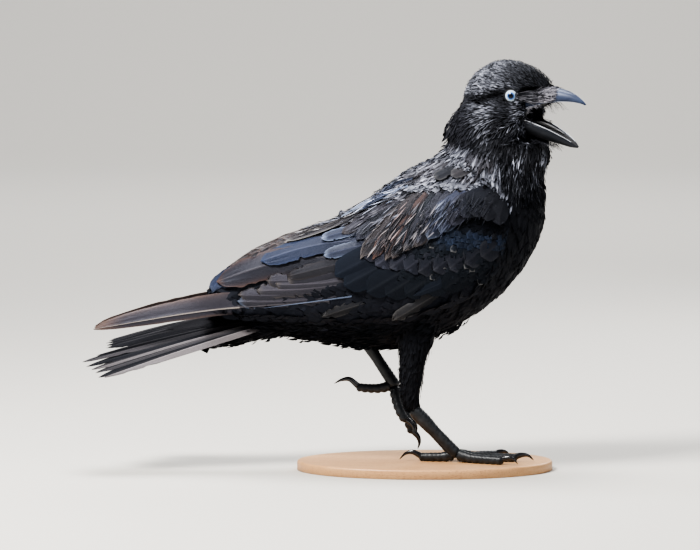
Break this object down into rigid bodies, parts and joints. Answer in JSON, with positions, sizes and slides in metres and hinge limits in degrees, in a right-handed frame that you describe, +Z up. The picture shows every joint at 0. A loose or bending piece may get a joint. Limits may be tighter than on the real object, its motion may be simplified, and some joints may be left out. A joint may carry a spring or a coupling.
{
  "type": "crow, a still life-size model on a display base",
  "caption": "Life-size black crow with a white iris, striding on one leg with its bill open, on a flat oval display base.",
  "frame": {"origin": "centre of the display base's underside", "axes": "+X the way the bird walks, +Y its left side, +Z up"},
  "size_m": [0.4112, 0.136, 0.3376],
  "materials": {
    "plumage": "glossy black contour feathers",
    "flight_feather": "black flight feathers with a blue sheen, worn brown at the edges",
    "bill_horn": "polished slate-black horn",
    "mouth_lining": "moist black skin",
    "leg_scale": "black scaled skin",
    "white_iris": "white iris with a pale blue inner ring and a black pupil, wet and clear in front",
    "beech_board": "oiled beech"
  },
  "bodies": {
    "root": {"stand_base": "beech_board", "trunk": "plumage", "neck": "plumage", "head": "plumage", "bill_upper": "bill_horn", "bill_lower": "bill_horn", "tongue": "mouth_lining", "tail": "flight_feather", "eye_right": "white_iris", "wing_right_shoulder": "plumage", "wing_right_secondaries": "flight_feather", "wing_right_primaries": "flight_feather", "thigh_right": "plumage", "tarsus_right": "leg_scale", "foot_right": "leg_scale", "claw_outer_right": "bill_horn", "claw_middle_right": "bill_horn", "claw_inner_right": "bill_horn", "claw_hind_right": "bill_horn", "eye_left": "white_iris", "wing_left_shoulder": "plumage", "wing_left_secondaries": "flight_feather", "wing_left_primaries": "flight_feather", "thigh_left": "plumage", "tarsus_left": "leg_scale", "foot_left": "leg_scale", "claw_outer_left": "bill_horn", "claw_middle_left": "bill_horn", "claw_inner_left": "bill_horn", "claw_hind_left": "bill_horn"}
  },
  "joints": []
}
